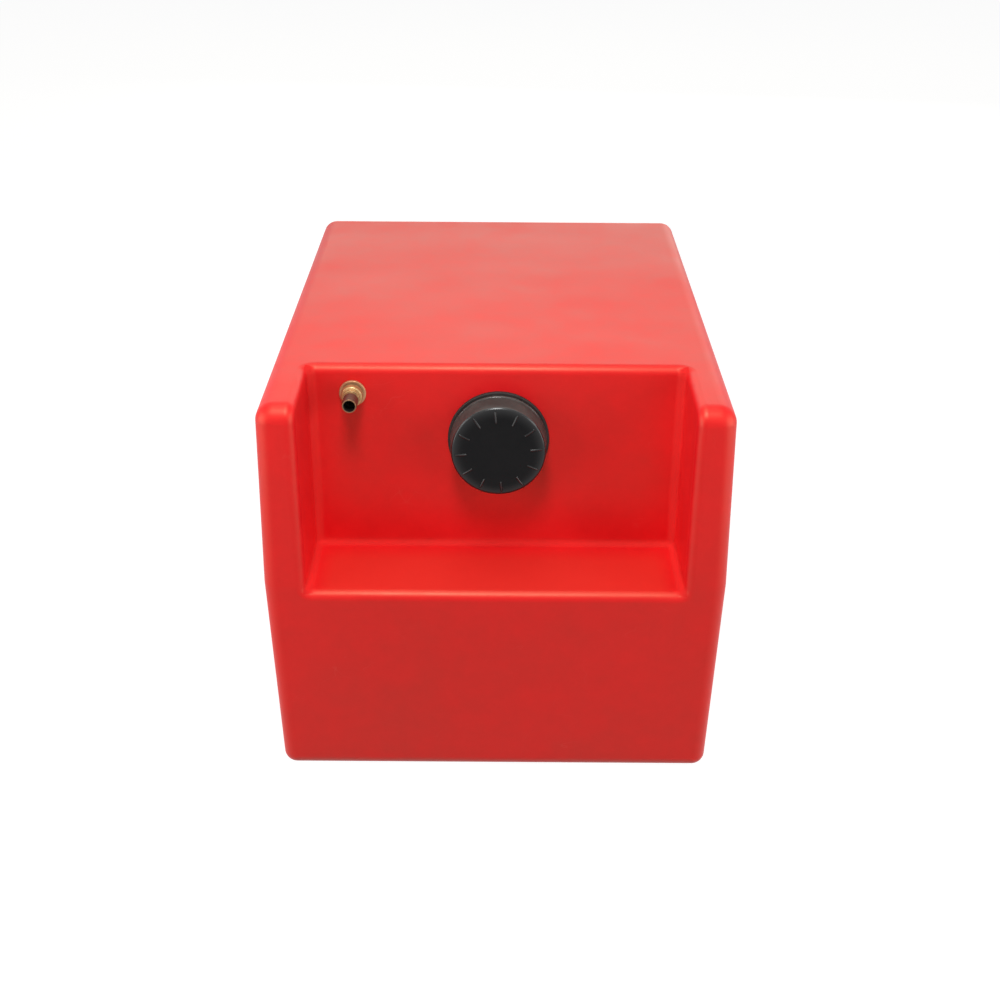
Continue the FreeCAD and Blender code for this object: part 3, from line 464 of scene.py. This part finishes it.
def grid_mesh(name, points, material, body, loop_rows=True, loop_columns=False):
    """A piece from grids of points, shaped (grids, rows, columns, 3) or (rows, columns, 3).

    Each cell of a grid is one face, seen from outside as column direction crossed with row direction. Rows
    or columns that loop join their last line to their first, and points that meet are merged, which closes
    seams and poles.
    """
    points = np.asarray(points, float)
    points = points.reshape((-1,) + points.shape[-3:])
    index = np.arange(points[..., 0].size).reshape(points.shape[:3])
    if loop_rows:
        index = np.concatenate([index, index[:, :1]], axis=1)
    if loop_columns:
        index = np.concatenate([index, index[:, :, :1]], axis=2)
    cells = [index[:, :-1, :-1], index[:, :-1, 1:], index[:, 1:, 1:], index[:, 1:, :-1]]
    faces = np.stack(cells, axis=-1).reshape(-1, 4)
    mesh = bpy.data.meshes.new(name)
    mesh.from_pydata((points.reshape(-1, 3) * MM).tolist(), [], faces.tolist())
    joined = bmesh.new()
    joined.from_mesh(mesh)
    bmesh.ops.remove_doubles(joined, verts=joined.verts, dist=MERGE_GAP * MM)
    joined.to_mesh(mesh)
    joined.free()
    mesh.shade_smooth()
    mesh.set_sharp_from_angle(angle=SHARP_CORNER)
    mesh.materials.append(material)
    piece = bpy.data.objects.new(name, mesh)
    bpy.context.scene.collection.objects.link(piece)
    piece.modifiers.new("even_shading", "WEIGHTED_NORMAL").keep_sharp = True
    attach(piece, body)
    return piece


def around_axis(foot, radius, turn, height):
    """Points at a radius from an axis, a turn round it and a height out from the wall."""
    radius, turn, height = np.broadcast_arrays(radius, turn, height)
    flat = (radius * np.cos(turn))[..., None] * ACROSS + (radius * np.sin(turn))[..., None] * UPWARD
    return foot + flat + height[..., None] * OUTWARD


def thread_piece(name, foot, radius, depth, start, turns, material, body):
    """A thread as a piece of its own: a trapezium carried along a helix, height = start + pitch * turns.

    Its root is sunk into the cylinder that carries it, and the whole thread sinks in over the first and
    last twelfth of a turn. A negative depth makes a thread that points inwards.
    """
    way = np.sign(depth)
    sunk = -THREAD_SINK * way
    run = np.linspace(0, turns, int(turns * THREAD_STEPS) + 1)
    fade = np.clip(THREAD_TAPERS * np.minimum(run, turns - run), 0, 1)
    rise = np.array([sunk, depth, depth, sunk])
    along = np.array([-THREAD_ROOT, -THREAD_CREST, THREAD_CREST, THREAD_ROOT]) / 2 * way
    out = radius + rise[:, None] * fade + sunk * (1 - fade)
    height = start + THREAD_PITCH * run + along[:, None] * fade
    return grid_mesh(name, around_axis(foot, out, 2 * math.pi * run, height), material, body)


FINE_SKIN = {"Blotch_Scale": 60.0, "Wave_Scale": 60.0, "Grain_Scale": 2600.0, "Grain": 0.4}
NECK_BLACK = plastic(
    "dusty_polypropylene",
    colours=((0.012, 0.0095, 0.009), (0.028, 0.022, 0.02)),
    roughness=(0.5, 0.65),
    gloss=0.3,
    skin=FINE_SKIN,
    bump=0.06,
)
paint_nodes(NECK_BLACK, "filler_neck")
thread_piece(
    "neck_thread",
    FILLER_FOOT,
    radius=COLLAR_RADIUS,
    depth=THREAD_DEPTH,
    start=THREAD_FOOT,
    turns=THREAD_TURNS,
    material=NECK_BLACK,
    body="tank",
)


# Cap. A black moulded cover, pressed over a threaded cup: a skirt with a bead at its foot, a crowned face
# with a flat middle, and twelve raised ticks to grip by. Its face is turned a few degrees, as it closes.
# The skirt is worn dull in patches, and hands have polished the rim, the bead and the ticks.
CAP_TURN = math.radians(4.5)
SKIRT_FOOT = 3.8
SKIRT_RADIUS = 41.6
SKIRT_INSIDE = 39.1
BEAD_RADIUS = 42.4
BEAD_TOP = 6.2
BEAD_SLOPE = 0.7
RIM_RADIUS = 41.3
RIM_CUT = 2.4
CORE_TOP = 27.55
FACE_TOP = 30.95
CROWN_DROP = 1.9
MIDDLE_RADIUS = 26.5
TICK_COUNT = 12
TICK_INNER = 27.2
TICK_OUTER = 38.2
TICK_WIDTH = 2.1
TICK_HEIGHT = 0.75
TICK_POWER = 1.3
TICK_CLOSING = 12
TICK_STEPS = 25
TICK_SIDES = 24
FACE_STEPS = 14
CORNER_STEPS = 7
CORNER_GUIDE = 0.1
TURNED_COLUMNS = 96
CAP_COLUMNS = 192
WEAR_START = 0.3
WEAR_FADE = 1.2
RIM_POLISH = 0.8
RIM_BAND = 2.2
POLISH_START = 30.0
POLISH_GROWTH = 11.0
BEAD_START = 0.1
BEAD_GROWTH = 0.4
TICK_POLISH = 0.6

CAP_BLACK = plastic(
    "black_polypropylene",
    colours=((0.0025, 0.0025, 0.003), (0.005, 0.0048, 0.0052)),
    roughness=(0.3, 0.4),
    gloss=0.12,
    skin=FINE_SKIN,
    bump=0.06,
    scuff={
        "lines": {"Scale": 90.0, "Cover": 0.9},
        "strength": 0.12,
        "colour": (0.12, 0.115, 0.11),
        "dulling": 0.3,
    },
    worn={
        "colour": (0.06, 0.0575, 0.0525),
        "roughness": 0.6,
        "patches": (0.4, 0.58),
        "least": 0.6,
    },
    polish=0.2,
)


def rounded(corners, steps=CORNER_STEPS):
    """An outline through corners given as (radius, height, cut).

    Each corner is cut back by its own length on both sides and bridged by the parabola that touches both
    sides, (1 - t)^2 before + 2t(1 - t) corner + t^2 after.
    """
    corners = np.asarray(corners, float)
    point, cut = corners[:, :2], corners[:, 2:]
    before = np.roll(point, 1, axis=0) - point
    after = np.roll(point, -1, axis=0) - point
    before = point + cut * before / np.linalg.norm(before, axis=1, keepdims=True)
    after = point + cut * after / np.linalg.norm(after, axis=1, keepdims=True)
    t = np.linspace(0, 1, steps)[:, None]
    bridge = (1 - t) ** 2 * before[:, None] + 2 * t * (1 - t) * point[:, None] + t**2 * after[:, None]
    return bridge.reshape(-1, 2)


def turned(name, foot, outline, material, body, columns=TURNED_COLUMNS, closed=True):
    """A turned piece: the outline's (radius, height) points go round the axis, anticlockwise in section.
    An outline that starts and ends on the axis isn't closed."""
    turn = np.linspace(0, 2 * math.pi, columns, endpoint=False)
    points = around_axis(foot, outline[:, :1], turn, outline[:, 1:])
    return grid_mesh(name, points, material, body, loop_rows=closed, loop_columns=True)


def mark(piece, name, foot, share):
    """Stores a share at each vertex, from its radius off the axis and its height out from the wall."""
    mesh = piece.data
    place = np.empty(len(mesh.vertices) * 3)
    mesh.vertices.foreach_get("co", place)
    place = place.reshape(-1, 3) / MM - foot
    height = place @ OUTWARD
    radius = np.linalg.norm(place - height[:, None] * OUTWARD, axis=1)
    values = np.clip(share(radius, height), 0, 1)
    mesh.attributes.new(name, "FLOAT", "POINT").data.foreach_set("value", values)


def crown(radius):
    """Height of the cap's face: flat in its middle, and falling beyond as the square of the way out."""
    out = np.clip((radius - MIDDLE_RADIUS) / (RIM_RADIUS - MIDDLE_RADIUS), 0, 1)
    return FACE_TOP - CROWN_DROP * out**2


# The last corner only leads the rim's rounding on to the crown, so its own points are dropped.
guide_radius = RIM_RADIUS - RIM_CUT - CORNER_GUIDE
skirt_outline = rounded(
    [
        (0, CORE_TOP, 0),
        (SKIRT_INSIDE, CORE_TOP, 0.6),
        (SKIRT_INSIDE, SKIRT_FOOT, 0.3),
        (BEAD_RADIUS, SKIRT_FOOT, 0.6),
        (BEAD_RADIUS, BEAD_TOP, 0.6),
        (SKIRT_RADIUS, BEAD_TOP + BEAD_SLOPE, 0.4),
        (RIM_RADIUS, crown(RIM_RADIUS), RIM_CUT),
        (guide_radius, crown(guide_radius), 0),
    ]
)[:-CORNER_STEPS]
face_radius = np.linspace(RIM_RADIUS - RIM_CUT, MIDDLE_RADIUS, FACE_STEPS)
face_outline = np.column_stack([face_radius, crown(face_radius)])
cap_outline = np.vstack([skirt_outline, face_outline, [(0, FACE_TOP)]])
cap_cover = turned(
    "cap_cover",
    FILLER_FOOT,
    cap_outline,
    CAP_BLACK,
    body="cap",
    columns=CAP_COLUMNS,
    closed=False,
)


def skirt_wear(radius, height):
    """Wear: none on the face, and growing to full a little way down the skirt."""
    return (FACE_TOP - CROWN_DROP - WEAR_START - height) / WEAR_FADE


def cover_polish(radius, height):
    """Polish from hands: growing as a square over the crown to the rim, and full on the bead."""
    over_crown = RIM_POLISH * (np.clip(radius - POLISH_START, 0, None) / POLISH_GROWTH) ** 2
    on_bead = (radius - SKIRT_RADIUS - BEAD_START) / BEAD_GROWTH
    return np.where(height > FACE_TOP - CROWN_DROP - RIM_BAND, over_crown, on_bead)


mark(cap_cover, "worn", FILLER_FOOT, skirt_wear)
mark(cap_cover, "polish", FILLER_FOOT, cover_polish)
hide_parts("cap_shell")


def tick_points():
    """The ticks: a ridge, laid from the middle's edge outwards on the crown, and repeated round the face.

    Across it runs |side|^power + |lift|^power = 1, and its width and height close to nothing at both ends,
    as the root of 1 - along^12.
    """
    along = np.linspace(-1, 1, TICK_STEPS)
    close = (1 - along**TICK_CLOSING) ** 0.5
    around = -np.linspace(0, 2 * math.pi, TICK_SIDES, endpoint=False)
    side = np.sign(np.cos(around)) * np.abs(np.cos(around)) ** (2 / TICK_POWER) * TICK_WIDTH / 2
    lift = np.sign(np.sin(around)) * np.abs(np.sin(around)) ** (2 / TICK_POWER) * TICK_HEIGHT
    side, lift = side[:, None] * close, lift[:, None] * close
    reach = (TICK_INNER + TICK_OUTER) / 2 + along * (TICK_OUTER - TICK_INNER) / 2
    angle = CAP_TURN + 2 * math.pi * np.arange(TICK_COUNT)[:, None, None] / TICK_COUNT
    turn = angle + np.arctan2(side, reach)
    return around_axis(FILLER_FOOT, np.hypot(reach, side), turn, crown(reach) + lift)


def tick_polish(radius, height):
    """Polish on the ticks, growing from the face to their tops."""
    return TICK_POLISH * (height - crown(radius)) / TICK_HEIGHT


cap_ticks = grid_mesh("cap_ticks", tick_points(), CAP_BLACK, "cap")
mark(cap_ticks, "polish", FILLER_FOOT, tick_polish)


# Cap core. The threaded cup inside the cover, in the same black plastic, with the thread that climbs the
# neck's. A rubber gasket and a nylon slip ring sit under its roof, and the vent valve in its middle.
CORE_BORE = 35.0
CORE_TURNS = 1.0
paint_nodes(CAP_BLACK, "cap_core")
thread_piece(
    "core_thread",
    FILLER_FOOT,
    radius=CORE_BORE,
    depth=-THREAD_DEPTH,
    start=THREAD_FOOT - THREAD_PITCH / 2,
    turns=CORE_TURNS,
    material=CAP_BLACK,
    body="cap",
)

SEAL_RUBBER = plastic(
    "seal_rubber",
    colours=((0.011, 0.011, 0.012), (0.017, 0.0165, 0.016)),
    roughness=(0.62, 0.78),
    gloss=0.4,
    skin={"Blotch_Scale": 80.0, "Wave_Scale": 90.0, "Grain_Scale": 3000.0, "Grain": 0.5},
    bump=0.08,
)
paint_nodes(SEAL_RUBBER, "cap_gasket", "vent_umbrella")

PALE_NYLON = plastic(
    "pale_nylon",
    colours=((0.62, 0.58, 0.48), (0.7, 0.66, 0.56)),
    roughness=(0.38, 0.5),
    gloss=0.45,
    skin={"Blotch_Scale": 50.0, "Wave_Scale": 60.0, "Grain_Scale": 2200.0, "Grain": 0.3},
    bump=0.05,
)
paint_nodes(PALE_NYLON, "slip_ring", "vent_seat", "vent_poppet")


# Vent spring. Round stainless wire, wound with closed ends, in the chamber in the middle of the cap core.
# It keeps the vent valve on its seat.
SPRING_STEPS = 40
WIRE_SIDES = 12
CLOSED_TURNS = 0.6
METAL_BLOTCH = (0.4, 0.62)
METAL_GRAIN = 0.35
METAL_BUMP = 0.03


def bare_metal(name, bright, tarnish, share, roughness, scale, stains=(), metallic=1.0):
    """Bare metal: a bright and a tarnished colour mixed by noise, duller where it is tarnished.

    Share is the least and the most of the tarnish, roughness is that of the bright metal and the tarnish,
    and each stain is (attribute, colour, roughness).
    """
    material, shader = new_material(name, {"Metallic": metallic})
    tree = material.node_tree
    scales = {"Blotch_Scale": scale, "Wave_Scale": scale * 2, "Grain_Scale": scale * 30}
    surface = use_group(tree, SKIN, **scales, Grain=METAL_GRAIN)
    dull = spread(tree, surface["Blotch"], *METAL_BLOTCH, *share)
    colour = mixed(tree, dull, (*bright, 1), (*tarnish, 1))
    rough = spread(tree, dull, 0, 1, *roughness)
    for stain in stains:
        colour, rough = overlay(tree, colour, rough, *stain)
    join_finish(tree, shader, colour, rough, surface["Height"], METAL_BUMP)
    return material


STEEL = bare_metal(
    "stainless_wire",
    bright=(0.62, 0.61, 0.59),
    tarnish=(0.42, 0.4, 0.37),
    share=(0.0, 0.6),
    roughness=(0.2, 0.36),
    scale=120.0,
)


def spring(name, foot, width, wire, low, high, turns, material, node, body):
    """A round wire carried along a helix, whose middle line runs from low to high above the foot.

    It climbs evenly, but by only one wire a turn over the closed turns at both ends, and its tips are
    closed.
    """
    run = np.linspace(0, turns, int(turns * SPRING_STEPS) + 1)
    climb = np.clip((run - CLOSED_TURNS) / (turns - 2 * CLOSED_TURNS), 0, 1)
    ends = wire * (np.minimum(run, CLOSED_TURNS) + np.clip(run - turns + CLOSED_TURNS, 0, None))
    height = low + ends + climb * (high - low - 2 * CLOSED_TURNS * wire)
    swell = np.where((run > 0) & (run < turns), 1, 0)
    around = np.linspace(0, 2 * math.pi, WIRE_SIDES, endpoint=False)[:, None]
    radius = (width - wire) / 2 + wire / 2 * np.cos(around) * swell
    points = around_axis(foot, radius, 2 * math.pi * run, height + wire / 2 * np.sin(around) * swell)
    coil = grid_mesh(name, points, material, body)
    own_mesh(coil)
    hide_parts(node)


spring(
    "vent_coil",
    FILLER_FOOT,
    width=8.0,
    wire=0.7,
    low=16.05,
    high=24.75,
    turns=5.0,
    material=STEEL,
    node="vent_spring",
    body="cap",
)


# Fuel outlet. A brass bush moulded into the wall, a black rubber washer, and a turned brass fitting: a
# round grip, a shoulder and a barbed tail for the hose, which fuel has stained dark. Its bore is black
# with painted shade. Inside is the check valve, whose ball and spring are stained by fuel and painted
# near black with shade as well.
BUSH_LENGTH = 14.0
BUSH_RADIUS = 9.0
FLANGE_RADIUS = 11.75
FLANGE_TOP = 2.5
WALL_GAP = 0.02
WASHER_TOP = 4.0
GRIP_TOP = 11.5
GRIP_RADIUS = 9.6
GRIP_CUT = 1.9
SHOULDER_TOP = 15.0
SHOULDER_RADIUS = 7.5
TAIL_TOP = 31.2
TAIL_ROOT = 6.1
TAIL_CREST = 6.6
TAIL_BORE = 4.9
SCREW_RADIUS = 6.85
SCREW_GAP = 0.05
SEAT_BORE = 2.4
SEAT_HEIGHT = 3.0
INNER_MOUTH = -30.0
INNER_ROOT = 3.6
INNER_CREST = 4.0
OUTER_BARBS = 3
INNER_BARBS = 2
BARB_PITCH = 4.5
BARB_LAND = 0.8
BARB_LENGTH = 4.0
BARB_CUTS = (0.12, 0.15, 0.2, 0.2)
FITTING_STEPS = 5
FITTING_COLUMNS = 120
STAIN_OVERLAP = 0.4
STAIN_FADE = 1.5
LIP_DEPTH = 0.4
LIP_FADE = 0.15
LIP_CLEANED = 0.5
BORE_EDGE = 0.3
BORE_EDGE_FADE = 0.1
BORE_FADE = 0.25
OUTLET_FOOT = axis_foot("outlet_washer", (FLANGE_TOP + WASHER_TOP) / 2)

AGED_BRASS = bare_metal(
    "aged_brass",
    bright=(0.6, 0.34, 0.18),
    tarnish=(0.36, 0.18, 0.09),
    share=(0.1, 0.9),
    roughness=(0.32, 0.48),
    scale=70.0,
    metallic=0.65,
)
bush_outline = rounded(
    [
        (SCREW_RADIUS + SCREW_GAP, FLANGE_TOP, 0.2),
        (SCREW_RADIUS + SCREW_GAP, -BUSH_LENGTH, 0.2),
        (BUSH_RADIUS, -BUSH_LENGTH, 0.3),
        (BUSH_RADIUS, WALL_GAP, 0.1),
        (FLANGE_RADIUS, WALL_GAP, 0.15),
        (FLANGE_RADIUS, FLANGE_TOP, 0.7),
    ]
)
bush = turned("bush", OUTLET_FOOT, bush_outline, AGED_BRASS, "tank")
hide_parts("outlet_bush")
paint_nodes(SEAL_RUBBER, "outlet_washer")


def barbed(foot, root, crest, count, way):
    """Corners of a barbed tail from its foot to its mouth. Each barb steps out to its crest and ramps in.
    Way is 1 for a tail that points out from the wall, and -1 for one that points inwards."""
    base = foot + way * BARB_PITCH * np.arange(count)[:, None]
    rise = way * np.array([0, 0, BARB_LAND, BARB_LENGTH])
    out = np.broadcast_to([root, crest, crest, root], (count, 4))
    cut = np.broadcast_to(BARB_CUTS, (count, 4))
    return np.stack([out, base + rise, cut], axis=-1).reshape(-1, 3).tolist()


BRASS = bare_metal(
    "brass",
    bright=(0.54, 0.345, 0.15),
    tarnish=(0.27, 0.155, 0.07),
    share=(0.05, 0.85),
    roughness=(0.36, 0.5),
    scale=70.0,
    stains=(
        ("browned", (0.13, 0.05, 0.034), 0.42),
        # The bore's black is painted shade.
        ("bore_shade", (0.012, 0.008, 0.006), 0.75),
    ),
    metallic=0.65,
)
outer_barbs = barbed(TAIL_TOP - OUTER_BARBS * BARB_PITCH, TAIL_ROOT, TAIL_CREST, OUTER_BARBS, 1)
inner_barbs = barbed(INNER_MOUTH + INNER_BARBS * BARB_PITCH, INNER_ROOT, INNER_CREST, INNER_BARBS, -1)
fitting_outline = rounded(
    [
        (TAIL_BORE, TAIL_TOP, 0.35),
        (TAIL_BORE, SEAT_HEIGHT, 0.2),
        (SEAT_BORE, SEAT_HEIGHT, 0.3),
        (SEAT_BORE, INNER_MOUTH, 0.2),
        (INNER_ROOT, INNER_MOUTH, 0.3),
        *inner_barbs[::-1],
        (INNER_ROOT, -BUSH_LENGTH, 0),
        (SCREW_RADIUS, -BUSH_LENGTH, 0.3),
        (SCREW_RADIUS, WASHER_TOP, 0.1),
        (GRIP_RADIUS, WASHER_TOP, 0.2),
        (GRIP_RADIUS, GRIP_TOP, GRIP_CUT),
        (SHOULDER_RADIUS, GRIP_TOP, 0.1),
        (SHOULDER_RADIUS, SHOULDER_TOP, 0.5),
        (TAIL_ROOT, SHOULDER_TOP, 0.25),
        *outer_barbs,
        (TAIL_ROOT, TAIL_TOP, 0.3),
    ],
    steps=FITTING_STEPS,
)
fitting = turned(
    "hose_fitting",
    OUTLET_FOOT,
    fitting_outline,
    BRASS,
    body="tank",
    columns=FITTING_COLUMNS,
)
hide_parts("outlet_fitting")


def tail_browning(radius, height):
    """Brown from fuel, full on the tail and gone below the shoulder's top. Hoses keep the lip brighter."""
    tail = np.clip((height - SHOULDER_TOP + STAIN_OVERLAP) / STAIN_FADE, 0, 1)
    end = np.clip((height - TAIL_TOP + LIP_DEPTH) / LIP_FADE, 0, 1)
    lip = end * np.clip((radius - TAIL_BORE - BORE_EDGE) / BORE_EDGE_FADE, 0, 1)
    return tail * (1 - LIP_CLEANED * lip)


def bore_shade_share(radius, height):
    """Painted shade: black, full in the bore and gone just past its edge."""
    return (TAIL_BORE + BORE_EDGE - radius) / BORE_FADE


mark(fitting, "browned", OUTLET_FOOT, tail_browning)
# Painted shade: black in the bore.
mark(fitting, "bore_shade", OUTLET_FOOT, bore_shade_share)

# Near black: the check valve's ball, stop and spring are stained by fuel, and painted darker as shade.
SHADED_FUEL_METAL = bare_metal(
    "fuel_stain_and_shade",
    bright=(0.03, 0.023, 0.018),
    tarnish=(0.014, 0.01, 0.008),
    share=(0.0, 1.0),
    roughness=(0.55, 0.7),
    scale=90.0,
)
paint_nodes(SHADED_FUEL_METAL, "check_ball", "spring_stop")
spring(
    "check_coil",
    OUTLET_FOOT,
    width=6.6,
    wire=0.6,
    low=8.275,
    high=19.275,
    turns=6.0,
    material=SHADED_FUEL_METAL,
    node="check_spring",
    body="tank",
)


# Pick-up. A formed nylon tube from the outlet down to the tank's floor, clamped by a steel ferrule, with a
# closed strainer on a barbed plug at its lower end.
STRAINER_PLASTIC = plastic(
    "strainer_plastic",
    colours=((0.03, 0.05, 0.1), (0.05, 0.075, 0.14)),
    roughness=(0.5, 0.65),
    gloss=0.4,
    skin={"Blotch_Scale": 60.0, "Wave_Scale": 60.0, "Grain_Scale": 2000.0, "Grain": 0.6},
    bump=0.12,
)
paint_nodes(PALE_NYLON, "pickup_tube", "strainer_plug")
paint_nodes(STEEL, "tube_ferrule")
paint_nodes(STRAINER_PLASTIC, "strainer_screen")
